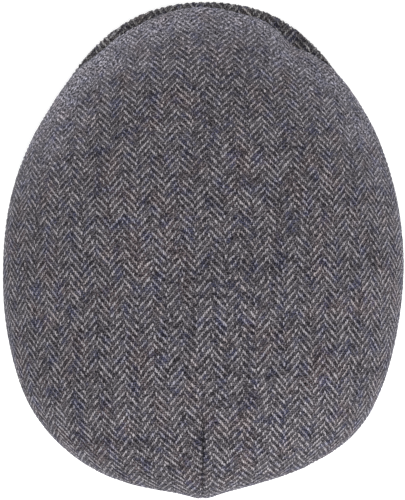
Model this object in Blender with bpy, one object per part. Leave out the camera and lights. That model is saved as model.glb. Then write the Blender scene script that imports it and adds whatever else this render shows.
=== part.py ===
# Tweed flat cap, resting on its rim and on the sides of its peak.
# Metres, +Z up. The peak points to -Y, and the wearer's left is +X.
# The origin is on the table, under the middle of the cap.

from collections import namedtuple
from math import cos, exp, hypot, pi, radians, sin, sqrt

import bmesh
import bpy
from mathutils import Vector

# Overall sizes
CAP_LENGTH = 0.270          # front edge of the peak to the point at the back
CAP_WIDTH = 0.218           # across the widest line of the crown
CAP_HEIGHT = 0.108          # table to the highest point of the crown

# Cloth, and the gap kept between sewn pieces
CLOTH_THICKNESS = 0.0018
SEAM_GAP = 0.0004

# Head opening, measured inside the cloth
HEAD_LENGTH = 0.204
HEAD_WIDTH = 0.162

# Peak
PEAK_DEPTH = 0.050          # front edge to the head opening, on the centre line
PEAK_ARC = 0.085            # front-to-back half size of its outer arc
PEAK_SIDE_REACH = 0.0053    # how far the arc reaches past the head opening at each side
PEAK_SHIFT = -0.0013        # its middle lies a little to the wearer's right
PEAK_THICKNESS = 0.004
PEAK_LIFT_FRONT = 0.0105    # underside above the table at the front edge
PEAK_LIFT_BACK = 0.017      # underside above the table at the head opening
PEAK_ARCH_POWER = 1.5       # 1 is an even arch across, more lies flatter at the sides
PEAK_END = 50.0             # bearing of its corners
PEAK_CORNER_START = 36.0    # bearing where the corners begin to narrow
PEAK_CORNER_CUT = 0.90      # how much of the width the corner's rounding takes, squared

# Crown
CREST_SETBACK = 0.161       # highest point behind the middle, as a share of CAP_LENGTH
FOLD_TUCK = 0.0035          # how far the cloth turns back under the front fold
DART_DEPTH = 0.0007         # dip along the sewn dart
DART_START = 0.50           # share of the reach where the dart begins
DART_FULL = 0.65            # share of the reach where it is fully there
DART_FADE = 8               # power that lets the dip run out at the widest line
DART_SPREAD = 2.0           # half width of the dip, in degrees of bearing
RIM_LIFT_START = 63.0       # bearing where the rim leaves the table
RIM_LIFT_END = 52.0         # bearing where it lies on the peak
WALL_SHOULDER = 0.45        # upper handle of the side's curve, as a share of its height
WALL_HEM = 0.35             # upright stretch above the rim, as a share of its height
SIDE_TIP = 30.0             # bearing of the side panels' front points

# How finely the surfaces are divided
BEARING_STEP = 5
PEAK_BEARING_STEP = 2.5
DOME_RINGS = 12
LIP_ROWS = 3
WALL_ROWS = 7
PEAK_ROWS = 6
PEAK_EDGE_STEPS = 4
SHARP_ANGLE = 50            # edges bent by more degrees than this stay sharp
SAME_PLACE = 1e-7           # points this close are one

# Sections through the crest, by bearing in degrees from the front. The bearing is read on
# a plan where length and width are both one. left and right are the reach of the widest
# line as shares of the overall sizes, fold is its height as a share of CAP_HEIGHT, plan
# and rise are the powers of the dome's curve, tuck is 0 where the lower edge lies under
# the fold and 1 where it is the rim, and seam is how far down the side the top ends.
Section = namedtuple("Section", "bearing left right fold plan rise tuck seam")
SECTIONS = (
    Section(0, 0.650, 0.650, 0.185, 2.00, 1.35, 0.00, 1.00),
    Section(15, 0.635, 0.633, 0.165, 2.00, 1.35, 0.00, 1.00),
    Section(30, 0.609, 0.615, 0.135, 2.00, 1.38, 0.10, 1.00),
    Section(45, 0.580, 0.592, 0.215, 2.00, 1.42, 0.80, 0.36),
    Section(60, 0.550, 0.555, 0.320, 2.00, 1.50, 1.00, 0.18),
    Section(75, 0.515, 0.518, 0.400, 2.00, 1.55, 1.00, 0.15),
    Section(90, 0.488, 0.485, 0.445, 2.00, 1.60, 1.00, 0.14),
    Section(105, 0.463, 0.460, 0.485, 2.10, 1.65, 1.00, 0.13),
    Section(120, 0.428, 0.428, 0.530, 2.20, 1.75, 1.00, 0.12),
    Section(135, 0.390, 0.381, 0.575, 2.30, 1.85, 1.00, 0.12),
    Section(150, 0.356, 0.345, 0.615, 2.40, 1.95, 1.00, 0.12),
    Section(165, 0.336, 0.331, 0.640, 2.40, 2.00, 1.00, 0.12),
    Section(180, 0.334, 0.334, 0.650, 2.40, 2.00, 1.00, 0.12),
)

# Local dents and points of the widest line: side is 1 on the left and -1 on the right,
# spread is in degrees, and depth is a share of the overall sizes, positive inwards.
Dent = namedtuple("Dent", "side bearing spread depth")
DENTS = (
    Dent(-1, 21, 6, 0.0080),    # hollow in the front fold on the right
    Dent(-1, 37, 7, -0.0060),   # fuller shoulder beside it
    Dent(-1, 114, 7, -0.0025),  # fuller corner at the right of the back
    Dent(1, 180, 6, -0.0050),   # point where the dart meets the edge
)

TWEED = (0.110, 0.102, 0.115, 1.0)
TWEED_ROUGHNESS = 0.92

# Short steps for measuring the surface's slope: degrees round the cap, and down a section
SLOPE_BEARING_STEP = 0.25
SLOPE_DOWN_STEP = 0.02


def smooth_step(low, high, value):
    t = min(1.0, max(0.0, (value - low) / (high - low)))
    return t * t * (3.0 - 2.0 * t)


def ring_of(left_column, right_column):
    """The values all round the cap: down the left side from the front, back up the right."""
    left = [getattr(section, left_column) for section in SECTIONS]
    right = [getattr(section, right_column) for section in SECTIONS[1:-1]]
    return left + right[::-1]


RINGS = {
    "reach": ring_of("left", "right"),
    "fold": ring_of("fold", "fold"),
    "plan": ring_of("plan", "plan"),
    "rise": ring_of("rise", "rise"),
    "tuck": ring_of("tuck", "tuck"),
    "seam": ring_of("seam", "seam"),
}


def around(name, bearing):
    """A column of SECTIONS at any bearing, on a smooth closed curve through its rows."""
    values = RINGS[name]
    place = (bearing % 360.0) / 360.0 * len(values)
    index = int(place)
    t = place - index
    before, start, end, after = (values[(index + k) % len(values)] for k in (-1, 0, 1, 2))
    bend = 2 * before - 5 * start + 4 * end - after
    twist = 3 * (start - end) + after - before
    return start + 0.5 * t * (end - before + t * (bend + t * twist))


def turned_from_front(bearing):
    """Degrees from the front on either side, 0 to 180."""
    return abs((bearing + 180.0) % 360.0 - 180.0)


def plan_ray(bearing):
    """Direction of a bearing on the table, and the length that a share of 1 stands for."""
    x = CAP_WIDTH * sin(radians(bearing))
    y = -CAP_LENGTH * cos(radians(bearing))
    length = hypot(x, y)
    return x / length, y / length, length


CREST_Y = CREST_SETBACK * CAP_LENGTH
FRONT_Y = -CAP_LENGTH / 2
RIM_HALF_X = HEAD_WIDTH / 2 + CLOTH_THICKNESS
RIM_HALF_Y = HEAD_LENGTH / 2 + CLOTH_THICKNESS
RIM_CENTRE = (0.0, FRONT_Y + PEAK_DEPTH + RIM_HALF_Y)
PEAK_HALF_X = HEAD_WIDTH / 2 + PEAK_SIDE_REACH
PEAK_CENTRE = (PEAK_SHIFT, FRONT_Y + PEAK_ARC)


def reach_to_ellipse(bearing, centre, half_x, half_y):
    """Distance from the crest to the far side of an ellipse, along a bearing."""
    dx, dy, _ = plan_ray(bearing)
    sx, sy = -centre[0] / half_x, (CREST_Y - centre[1]) / half_y
    ux, uy = dx / half_x, dy / half_y
    a = ux * ux + uy * uy
    b = sx * ux + sy * uy
    c = sx * sx + sy * sy - 1.0
    return (-b + sqrt(b * b - a * c)) / a


def rim_reach(bearing):
    return reach_to_ellipse(bearing, RIM_CENTRE, RIM_HALF_X, RIM_HALF_Y)


def fold_reach(bearing):
    """Distance from the crest to the crown's widest line, dents included."""
    share = around("reach", bearing)
    for dent in DENTS:
        away = turned_from_front(bearing - dent.side * dent.bearing)
        share -= dent.depth * exp(-(away / dent.spread) ** 2)
    return share * plan_ray(bearing)[2]


def peak_reach(bearing):
    """Distance from the crest to the peak's outer edge, rounded off at its corners."""
    inner = rim_reach(bearing)
    outer = reach_to_ellipse(bearing, PEAK_CENTRE, PEAK_HALF_X, PEAK_ARC)
    corner = max(0.0, turned_from_front(bearing) - PEAK_CORNER_START) / (PEAK_END - PEAK_CORNER_START)
    return inner + (outer - inner) * sqrt(1.0 - PEAK_CORNER_CUT * min(1.0, corner) ** 2)


def peak_underside(x, y):
    """Height of the peak's underside: an arch across, falling a little to the front."""
    back = (y - FRONT_Y) / PEAK_DEPTH
    lift = PEAK_LIFT_FRONT + (PEAK_LIFT_BACK - PEAK_LIFT_FRONT) * min(1.0, back)
    across = (x - PEAK_SHIFT) / PEAK_HALF_X
    return lift * max(0.0, 1.0 - across * across) ** PEAK_ARCH_POWER


def foot_height(bearing, x, y):
    """Height of the crown's lower edge: on the peak at the front, on the table elsewhere."""
    on_peak = 1.0 - smooth_step(RIM_LIFT_END, RIM_LIFT_START, turned_from_front(bearing))
    return on_peak * (peak_underside(x, y) + PEAK_THICKNESS + SEAM_GAP)


def on_ray(bearing, reach, height):
    dx, dy, _ = plan_ray(bearing)
    return Vector((dx * reach, CREST_Y + dy * reach, height))


def lower_edge(bearing):
    """Reach and height of the crown's lower edge."""
    folded = fold_reach(bearing) - FOLD_TUCK
    tuck = around("tuck", bearing)
    reach = folded + (rim_reach(bearing) - folded) * tuck
    place = on_ray(bearing, reach, 0.0)
    return reach, foot_height(bearing, place.x, place.y)


def outer_point(bearing, down):
    """Outer surface. down runs from 0 at the crest over 1 at the widest line to 2 at the foot."""
    reach = fold_reach(bearing)
    fold = around("fold", bearing) * CAP_HEIGHT
    if down <= 1.0:
        angle = down * pi / 2
        share = sin(angle) ** (2.0 / around("plan", bearing))
        rise = max(0.0, cos(angle)) ** (2.0 / around("rise", bearing))
        dip = DART_DEPTH * exp(-(turned_from_front(bearing - 180.0) / DART_SPREAD) ** 2)
        dip *= smooth_step(DART_START, DART_FULL, share) * (1.0 - share ** DART_FADE)
        return on_ray(bearing, reach * share, fold + (CAP_HEIGHT - fold) * rise - dip)
    t = down - 1.0
    foot_reach, foot = lower_edge(bearing)
    handles = (
        (reach, fold),
        (reach, fold + (foot - fold) * WALL_SHOULDER),
        (foot_reach, foot + (fold - foot) * WALL_HEM),
        (foot_reach, foot),
    )
    weights = ((1 - t) ** 3, 3 * t * (1 - t) ** 2, 3 * t * t * (1 - t), t ** 3)
    place = [sum(w * handle[k] for w, handle in zip(weights, handles)) for k in (0, 1)]
    return on_ray(bearing, place[0], place[1])


def outward(bearing, down):
    """Outward direction of the surface, level at the foot."""
    if down == 0.0:
        return Vector((0.0, 0.0, 1.0))
    turn, step = SLOPE_BEARING_STEP, SLOPE_DOWN_STEP
    along = outer_point(bearing + turn, down) - outer_point(bearing - turn, down)
    falling = outer_point(bearing, min(2.0, down + step)) - outer_point(bearing, down - step)
    normal = falling.cross(along)
    if down == 2.0:
        normal.z = 0.0
    return normal.normalized()


def inner_point(bearing, down):
    """Inner surface, a cloth's thickness inside, whose foot stands where the outer one does."""
    place = outer_point(bearing, down) - outward(bearing, down) * CLOTH_THICKNESS
    if down == 2.0:
        place.z = max(lower_edge(bearing)[1], foot_height(bearing, place.x, place.y))
    return place


def half_seam(bearing, down):
    """Half of the gap at the seam, as a share of the way down the side."""
    step = SLOPE_DOWN_STEP
    length = (outer_point(bearing, down + step) - outer_point(bearing, down - step)).length
    return SEAM_GAP * step / length


def seam_place(bearing):
    return 1.0 + min(1.0, around("seam", bearing))


def top_end(bearing):
    """Where the top panel ends: at the seam, or at the foot in front of the side panels."""
    if turned_from_front(bearing) < SIDE_TIP:
        return 2.0
    seam = seam_place(bearing)
    half = half_seam(bearing, seam)
    return min(seam, 2.0 - half) - half


def side_start(bearing):
    """Where a side panel begins, which is the foot itself at its front point."""
    if turned_from_front(bearing) <= SIDE_TIP:
        return 2.0
    seam = seam_place(bearing)
    return seam + half_seam(bearing, seam)


def new_object(name, mesh_data):
    mesh = bpy.data.meshes.new(name)
    bmesh.ops.remove_doubles(mesh_data, verts=mesh_data.verts, dist=SAME_PLACE)
    bmesh.ops.dissolve_degenerate(mesh_data, edges=mesh_data.edges, dist=SAME_PLACE)
    bmesh.ops.recalc_face_normals(mesh_data, faces=mesh_data.faces)
    bmesh.ops.triangulate(mesh_data, faces=mesh_data.faces)
    mesh_data.to_mesh(mesh)
    mesh_data.free()
    mesh.shade_smooth()
    mesh.set_sharp_from_angle(angle=radians(SHARP_ANGLE))
    thing = bpy.data.objects.new(name, mesh)
    bpy.context.scene.collection.objects.link(thing)
    material = bpy.data.materials.new(name)
    material.use_nodes = True
    shader = material.node_tree.nodes["Principled BSDF"]
    shader.inputs["Base Color"].default_value = TWEED
    shader.inputs["Roughness"].default_value = TWEED_ROUGHNESS
    shader.inputs["Metallic"].default_value = 0.0
    mesh.materials.append(material)
    return thing


def add_skins(mesh_data, columns, closed):
    """Outer and inner skins joined along their edges.

    Each column is a list of (bearing, down) from top to bottom. A closed set of columns
    goes all round, and an open one gets a face of the cloth's thickness at each end.
    """
    outer = [[mesh_data.verts.new(outer_point(*place)) for place in column] for column in columns]
    inner = [[mesh_data.verts.new(inner_point(*place)) for place in column] for column in columns]
    count = len(columns)
    rows = len(columns[0])
    for c in range(count if closed else count - 1):
        n = (c + 1) % count
        for r in range(rows - 1):
            mesh_data.faces.new((outer[c][r], outer[c][r + 1], outer[n][r + 1], outer[n][r]))
            mesh_data.faces.new((inner[c][r], inner[n][r], inner[n][r + 1], inner[c][r + 1]))
        mesh_data.faces.new((outer[c][-1], inner[c][-1], inner[n][-1], outer[n][-1]))
        if not closed:
            mesh_data.faces.new((outer[c][0], outer[n][0], inner[n][0], inner[c][0]))
    if not closed:
        for r in range(rows - 1):
            mesh_data.faces.new((outer[0][r], inner[0][r], inner[0][r + 1], outer[0][r + 1]))
            mesh_data.faces.new((outer[-1][r], outer[-1][r + 1], inner[-1][r + 1], inner[-1][r]))


def make_crown_top():
    columns = []
    for bearing in range(0, 360, BEARING_STEP):
        end = top_end(bearing)
        dome = [ring / DOME_RINGS for ring in range(DOME_RINGS + 1)]
        lip = [1.0 + (end - 1.0) * row / LIP_ROWS for row in range(1, LIP_ROWS + 1)]
        columns.append([(bearing, down) for down in dome + lip])
    mesh_data = bmesh.new()
    add_skins(mesh_data, columns, closed=True)
    return new_object("crown_top", mesh_data)


def make_side_panel(name, side):
    """side is 1 for the left panel and -1 for the right one."""
    back_gap = SEAM_GAP / 2 / rim_reach(180.0) * 180.0 / pi
    bearings = [float(b) for b in range(int(SIDE_TIP), 180, BEARING_STEP)] + [180.0 - back_gap]
    columns = []
    for bearing in bearings:
        start = side_start(side * bearing)
        step = (2.0 - start) / WALL_ROWS
        downs = [start + step * row for row in range(WALL_ROWS)] + [2.0]
        columns.append([(side * bearing, down) for down in downs])
    mesh_data = bmesh.new()
    add_skins(mesh_data, columns, closed=False)
    return new_object(name, mesh_data)


def peak_loop(bearing):
    """One closed section of the peak, with round edges, along a bearing."""
    half = PEAK_THICKNESS / 2
    low, high = rim_reach(bearing) + half, peak_reach(bearing) - half
    shares = [row / PEAK_ROWS for row in range(PEAK_ROWS + 1)]
    top = [(low + (high - low) * share, 1.0) for share in shares]
    turns = [pi / 2 - pi * step / PEAK_EDGE_STEPS for step in range(1, PEAK_EDGE_STEPS)]
    front = [(high + half * cos(turn), sin(turn)) for turn in turns]
    back = [(low - half * cos(turn), -sin(turn)) for turn in turns]
    under = [(reach, -1.0) for reach, _ in reversed(top)]
    loop = []
    for reach, level in top + front + under + back:
        place = on_ray(bearing, reach, 0.0)
        place.z = peak_underside(place.x, place.y) + half * (1.0 + level)
        loop.append(place)
    return loop


def make_peak():
    steps = int(PEAK_END / PEAK_BEARING_STEP)
    mesh_data = bmesh.new()
    loops = []
    for step in range(-steps, steps + 1):
        loop = peak_loop(step * PEAK_BEARING_STEP)
        loops.append([mesh_data.verts.new(place) for place in loop])
    size = len(loops[0])
    for one, other in zip(loops, loops[1:]):
        for k in range(size):
            n = (k + 1) % size
            mesh_data.faces.new((one[k], other[k], other[n], one[n]))
    mesh_data.faces.new(loops[0])
    mesh_data.faces.new(list(reversed(loops[-1])))
    return new_object("peak", mesh_data)


def make_cap():
    for old in list(bpy.data.objects):
        bpy.data.objects.remove(old, do_unlink=True)
    make_crown_top()
    make_side_panel("side_panel_left", 1)
    make_side_panel("side_panel_right", -1)
    make_peak()


make_cap()
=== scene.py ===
import time
from functools import partial

import bpy
import numpy as np
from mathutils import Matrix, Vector


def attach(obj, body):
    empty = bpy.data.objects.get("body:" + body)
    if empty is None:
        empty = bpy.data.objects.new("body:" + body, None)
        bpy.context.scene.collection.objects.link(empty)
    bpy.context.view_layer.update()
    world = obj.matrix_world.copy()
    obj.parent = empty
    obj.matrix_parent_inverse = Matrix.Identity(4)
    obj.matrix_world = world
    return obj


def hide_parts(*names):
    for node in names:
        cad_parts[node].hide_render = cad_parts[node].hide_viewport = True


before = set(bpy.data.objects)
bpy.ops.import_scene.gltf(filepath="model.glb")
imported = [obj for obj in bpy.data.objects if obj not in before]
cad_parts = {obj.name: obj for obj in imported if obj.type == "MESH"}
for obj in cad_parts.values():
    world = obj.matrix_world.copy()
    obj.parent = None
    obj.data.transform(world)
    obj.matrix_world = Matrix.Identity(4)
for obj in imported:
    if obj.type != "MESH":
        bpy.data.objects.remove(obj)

startTime = time.time()
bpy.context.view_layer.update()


def report(text):
    print("%6.1f s  %s" % (time.time() - startTime, text))


# The cap's own sizes in metres, the same as in the CAD: peak to -Y, wearer's left to +X
cap = {
    "length": 0.270,
    "width": 0.218,
    "height": 0.108,
    "cloth": 0.0018,          # thickness of the tweed
    "seamGap": 0.0004,
    "headLength": 0.204,      # the opening
    "headWidth": 0.162,
    "crestSetback": 0.161,    # behind the middle, as a share of the length
    "foldBand": 0.85,         # share of the reach from which the fold's own dents act
    "foldTuck": 0.0035,       # how far the cloth turns back under the front fold
    "dartDepth": 0.0007,
    "dartStart": 0.50,        # along the dart, as shares of the reach
    "dartFull": 0.65,
    "dartFade": 8,            # power with which it runs out at the edge
    "dartSpread": 2.0,        # degrees
    "rimLiftStart": 63.0,     # degrees from the front between which the rim
    "rimLiftEnd": 52.0,       # climbs from the table onto the peak
    "wallShoulder": 0.45,     # upper and lower handles of the side's curve,
    "wallHem": 0.35,          # as shares of its height
    "sideTip": 30.0,          # bearing where a side panel comes to a point
}

peakSize = {
    "depth": 0.050,
    "arc": 0.085,             # half depth of the ellipse along its front edge
    "sideReach": 0.0053,      # past the head opening
    "shift": -0.0013,
    "fullLeft": 0.0006,       # extra beside the middle of the front edge
    "fullRight": 0.0010,
    "fullAt": 15.0,           # degrees
    "fullSpread": 8.0,
    "thickness": 0.004,
    "liftFront": 0.0105,      # height of its arch at the front and at the back
    "liftBack": 0.017,
    "archPower": 1.5,
    "end": 50.0,              # degrees from the front
    "cornerStart": 36.0,
    "cornerCut": 0.90,
}

# bearing, reach left, reach right, height of the fold, plan power, rise power, tuck, seam
sections = np.array([
    (0, 0.650, 0.650, 0.185, 2.00, 1.35, 0.00, 1.00),
    (15, 0.635, 0.633, 0.165, 2.00, 1.35, 0.00, 1.00),
    (30, 0.609, 0.615, 0.135, 2.00, 1.38, 0.10, 1.00),
    (45, 0.580, 0.592, 0.215, 2.00, 1.42, 0.80, 0.36),
    (60, 0.550, 0.555, 0.320, 2.00, 1.50, 1.00, 0.18),
    (75, 0.515, 0.518, 0.400, 2.00, 1.55, 1.00, 0.15),
    (90, 0.488, 0.485, 0.445, 2.00, 1.60, 1.00, 0.14),
    (105, 0.463, 0.460, 0.485, 2.10, 1.65, 1.00, 0.13),
    (120, 0.428, 0.428, 0.530, 2.20, 1.75, 1.00, 0.12),
    (135, 0.390, 0.381, 0.575, 2.30, 1.85, 1.00, 0.12),
    (150, 0.356, 0.345, 0.615, 2.40, 1.95, 1.00, 0.12),
    (165, 0.336, 0.331, 0.640, 2.40, 2.00, 1.00, 0.12),
    (180, 0.334, 0.334, 0.650, 2.40, 2.00, 1.00, 0.12),
])

# side, bearing, spread in degrees, depth as a share
dents = (
    (-1, 21, 6, 0.0040), (-1, 35, 7, -0.0068), (1, 31.5, 5, -0.0035),
    (-1, 114, 7, -0.0025), (-1, 147, 10, -0.0020), (1, 120, 18, -0.0042), (1, 147, 9, -0.0015),
    (1, 180, 6, -0.0050),     # the point below the dart
)
# the same, but only near the front fold
foldDents = (
    (-1, 13.5, 4.2, -0.0075), (-1, 22.0, 2.9, 0.0066), (1, 25, 3, 0.0030),
)


def ringOf(left, right):
    return np.concatenate([sections[:, left], sections[-2:0:-1, right]])


rings = {
    "reach": ringOf(1, 2), "fold": ringOf(3, 3), "plan": ringOf(4, 4),
    "rise": ringOf(5, 5), "tuck": ringOf(6, 6), "seam": ringOf(7, 7),
}

crestY = cap["crestSetback"] * cap["length"]
frontY = -cap["length"] / 2
rimHalfX = cap["headWidth"] / 2 + cap["cloth"]
rimHalfY = cap["headLength"] / 2 + cap["cloth"]
rimCentreY = frontY + peakSize["depth"] + rimHalfY
peakHalfX = cap["headWidth"] / 2 + peakSize["sideReach"]


def smoothStep(low, high, value):
    t = np.clip((value - low) / (high - low), 0.0, 1.0)
    return t * t * (3.0 - 2.0 * t)


def bell(value, spread, middle=0.0):
    return np.exp(-((value - middle) / spread) ** 2)


def around(name, bearing):
    values = rings[name]
    place = np.mod(bearing, 360.0) / 360.0 * len(values)
    index = np.floor(place).astype(int)
    t = place - index
    before, start, end, after = (values[(index + k) % len(values)] for k in (-1, 0, 1, 2))
    bend = 2 * before - 5 * start + 4 * end - after
    twist = 3 * (start - end) + after - before
    return start + 0.5 * t * (end - before + t * (bend + t * twist))


def signedBearing(bearing):
    return np.mod(bearing + 180.0, 360.0) - 180.0


def turnedFromFront(bearing):
    return np.abs(signedBearing(bearing))


def planRay(bearing):
    x = cap["width"] * np.sin(np.radians(bearing))
    y = -cap["length"] * np.cos(np.radians(bearing))
    size = np.hypot(x, y)
    return x / size, y / size, size


def bearingOf(x, y):
    return np.mod(np.degrees(np.arctan2(x / cap["width"], -(y - crestY) / cap["length"])), 360.0)


def reachToEllipse(bearing, centreX, centreY, halfX, halfY):
    dx, dy, _ = planRay(bearing)
    sx, sy = -centreX / halfX, (crestY - centreY) / halfY
    ux, uy = dx / halfX, dy / halfY
    a = ux * ux + uy * uy
    b = sx * ux + sy * uy
    c = sx * sx + sy * sy - 1.0
    return (-b + np.sqrt(b * b - a * c)) / a


def rimReach(bearing):
    return reachToEllipse(bearing, 0.0, rimCentreY, rimHalfX, rimHalfY)


def dentedBy(marks, bearing):
    share = 0.0
    for side, middle, spread, depth in marks:
        share = share + depth * bell(turnedFromFront(bearing - side * middle), spread)
    return share


def foldReach(bearing):
    return (around("reach", bearing) - dentedBy(dents, bearing)) * planRay(bearing)[2]


def dimple(bearing):
    return dentedBy(foldDents, bearing) * planRay(bearing)[2]


def peakReach(bearing):
    inner = rimReach(bearing)
    arc = peakSize["arc"]
    outer = reachToEllipse(bearing, peakSize["shift"], frontY + arc, peakHalfX, arc)
    turned = turnedFromFront(bearing)
    full = np.where(np.mod(bearing, 360.0) > 180.0, peakSize["fullRight"], peakSize["fullLeft"])
    outer = outer + full * bell(turned, peakSize["fullSpread"], peakSize["fullAt"])
    corner = (turned - peakSize["cornerStart"]) / (peakSize["end"] - peakSize["cornerStart"])
    corner = np.clip(corner, 0.0, 1.0)
    return inner + (outer - inner) * np.sqrt(1.0 - peakSize["cornerCut"] * corner ** 2)


def peakUnderside(x, y):
    back = np.minimum(1.0, (y - frontY) / peakSize["depth"])
    lift = peakSize["liftFront"] + (peakSize["liftBack"] - peakSize["liftFront"]) * back
    across = (x - peakSize["shift"]) / peakHalfX
    return lift * np.clip(1.0 - across * across, 0.0, None) ** peakSize["archPower"]


def footHeight(bearing, x, y):
    onPeak = 1.0 - smoothStep(cap["rimLiftEnd"], cap["rimLiftStart"], turnedFromFront(bearing))
    return onPeak * (peakUnderside(x, y) + peakSize["thickness"] + cap["seamGap"])


def onRay(bearing, reach, height):
    dx, dy, _ = planRay(bearing)
    return np.stack(np.broadcast_arrays(dx * reach, crestY + dy * reach, height), -1)


def lowerEdge(bearing):
    folded = foldReach(bearing) - dimple(bearing) - cap["foldTuck"]
    reach = folded + (rimReach(bearing) - folded) * around("tuck", bearing)
    place = onRay(bearing, reach, 0.0)
    return reach, footHeight(bearing, place[..., 0], place[..., 1])


def outerPoint(bearing, down):
    # down: 0 at the crest, 1 at the widest line, 2 at the foot
    bearing, down = np.broadcast_arrays(bearing, down)
    reach, dent = foldReach(bearing), dimple(bearing)
    fold = around("fold", bearing) * cap["height"]
    angle = np.clip(down, 0.0, 1.0) * np.pi / 2
    share = np.sin(angle) ** (2.0 / around("plan", bearing))
    rise = np.clip(np.cos(angle), 0.0, None) ** (2.0 / around("rise", bearing))
    dip = cap["dartDepth"] * bell(turnedFromFront(bearing - 180.0), cap["dartSpread"])
    dip = dip * smoothStep(cap["dartStart"], cap["dartFull"], share) * (1.0 - share ** cap["dartFade"])
    domeReach = reach * share - dent * smoothStep(cap["foldBand"], 1.0, share)
    dome = onRay(bearing, domeReach, fold + (cap["height"] - fold) * rise - dip)
    t = np.clip(down - 1.0, 0.0, 1.0)
    footReach, foot = lowerEdge(bearing)
    w0, w1, w2, w3 = (1 - t) ** 3, 3 * t * (1 - t) ** 2, 3 * t * t * (1 - t), t ** 3
    wallReach = (w0 + w1) * (reach - dent) + (w2 + w3) * footReach
    shoulder = fold + (foot - fold) * cap["wallShoulder"]
    hem = foot + (fold - foot) * cap["wallHem"]
    wall = onRay(bearing, wallReach, w0 * fold + w1 * shoulder + w2 * hem + w3 * foot)
    return np.where((down <= 1.0)[..., None], dome, wall)


def unitOf(vectors):
    return vectors / np.maximum(np.linalg.norm(vectors, axis=-1, keepdims=True), 1e-12)


# how far apart the places are that a direction is taken from
probe = {"turn": 0.25, "down": 0.02, "foot": 1.999}


def outwardAt(bearing, down):
    turn, drop = probe["turn"], probe["down"]
    along = outerPoint(bearing + turn, down) - outerPoint(bearing - turn, down)
    below = outerPoint(bearing, np.minimum(2.0, down + drop))
    normal = np.cross(below - outerPoint(bearing, np.maximum(0.0, down - drop)), along)
    normal[down < drop] = (0.0, 0.0, 1.0)
    foot = down >= probe["foot"]
    normal[foot] = normal[foot] * (1.0, 1.0, 0.0)
    return unitOf(normal)


def seamAt(bearing):
    # where the side seam lies, and half its gap, both as a change in down
    seam = 1.0 + np.minimum(1.0, around("seam", bearing))
    drop = probe["down"]
    span = outerPoint(bearing, np.minimum(2.0, seam + drop)) - outerPoint(bearing, seam - drop)
    return seam, cap["seamGap"] * drop / np.linalg.norm(span, axis=-1)


def topEnd(bearing):
    # where the top panel ends: at the seam, or at the foot in front of the side panels
    seam, half = seamAt(bearing)
    atSeam = np.minimum(seam, 2.0 - half) - half
    return np.where(turnedFromFront(bearing) < cap["sideTip"], 2.0, atSeam)


def sideStart(bearing):
    seam, half = seamAt(bearing)
    return np.where(turnedFromFront(bearing) <= cap["sideTip"], 2.0, np.minimum(seam + half, 2.0))


# Arc lengths down each section, from a ring at this share of the reach
arcs = {"ring": 0.85, "bearingStep": 0.5, "lengthStep": 0.0005, "longest": 0.150, "steps": 241}
arcBearings = np.arange(0.0, 360.0, arcs["bearingStep"])
arcLengths = np.arange(0.0, arcs["longest"], arcs["lengthStep"])


def ringDown(bearing):
    return 2 / np.pi * np.arcsin(arcs["ring"] ** (around("plan", bearing) / 2))


def summed(parts, axis=0):
    # running sums, starting with 0
    return np.insert(np.cumsum(parts, axis=axis), 0, 0.0, axis=axis)


def makeArcTables():
    starts = ringDown(arcBearings)[:, None]
    downs = starts + (2.0 - starts) * np.linspace(0.0, 1.0, arcs["steps"])
    places = outerPoint(arcBearings[:, None], downs)
    lengths = summed(np.linalg.norm(np.diff(places, axis=1), axis=-1), 1)
    downAt = np.stack([np.interp(arcLengths, lengths[k], downs[k]) for k in range(len(downs))])
    return downs, lengths, downAt


arcDowns, arcSums, arcDownAt = makeArcTables()
arcTotal = arcSums[:, -1]


def between(table, row, column=None):
    # a value between the table's own; its rows go round
    low = np.floor(row).astype(int)
    t = row - low
    low, high = low % len(table), (low + 1) % len(table)
    if column is None:
        return table[low] * (1 - t) + table[high] * t
    column = np.clip(column, 0, table.shape[1] - 1.001)
    left = np.floor(column).astype(int)
    u = column - left
    one = table[low, left] * (1 - u) + table[low, left + 1] * u
    other = table[high, left] * (1 - u) + table[high, left + 1] * u
    return one * (1 - t) + other * t


def sampleRound(table, bearing, length=None):
    # a value kept for each bearing, or for each bearing and arc length
    column = None if length is None else length / arcs["lengthStep"]
    return between(table, np.mod(bearing, 360.0) / arcs["bearingStep"], column)


def arcTo(bearings, downs):
    # arc length from the ring to places down the sections
    index = np.round(bearings / arcs["bearingStep"]).astype(int) % len(arcBearings)
    return np.array([np.interp(down, arcDowns[k], arcSums[k]) for k, down in zip(index, downs)])


arcTopEnd = arcTo(arcBearings, topEnd(arcBearings))
arcSideStart = arcTo(arcBearings, sideStart(arcBearings))


def unrolled(bearing, down):
    # plan place where the part past the ring goes on along its ray by arc length
    reach = foldReach(bearing)
    share = np.sin(np.clip(down, 0, 1) * np.pi / 2) ** (2.0 / around("plan", bearing))
    past = arcs["ring"] * reach + arcTo(bearing, down)
    size = np.where(down < ringDown(bearing), share * reach, past)
    dx, dy, _ = planRay(bearing)
    return dx * size, crestY + dy * size


def rolledUp(x, y):
    # bearing, down and distance to the top panel's edge for a place on the unrolled plan
    bearing = bearingOf(x, y)
    size = np.hypot(x, y - crestY)
    reach = foldReach(bearing)
    ring = arcs["ring"] * reach
    share = np.clip(size / reach, 0.0, arcs["ring"])
    inner = 2 / np.pi * np.arcsin(share ** (around("plan", bearing) / 2))
    outer = sampleRound(arcDownAt, bearing, np.maximum(size - ring, 0.0))
    end = ring + sampleRound(arcTopEnd, bearing)
    return bearing, np.where(size <= ring, inner, outer), end - size


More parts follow.
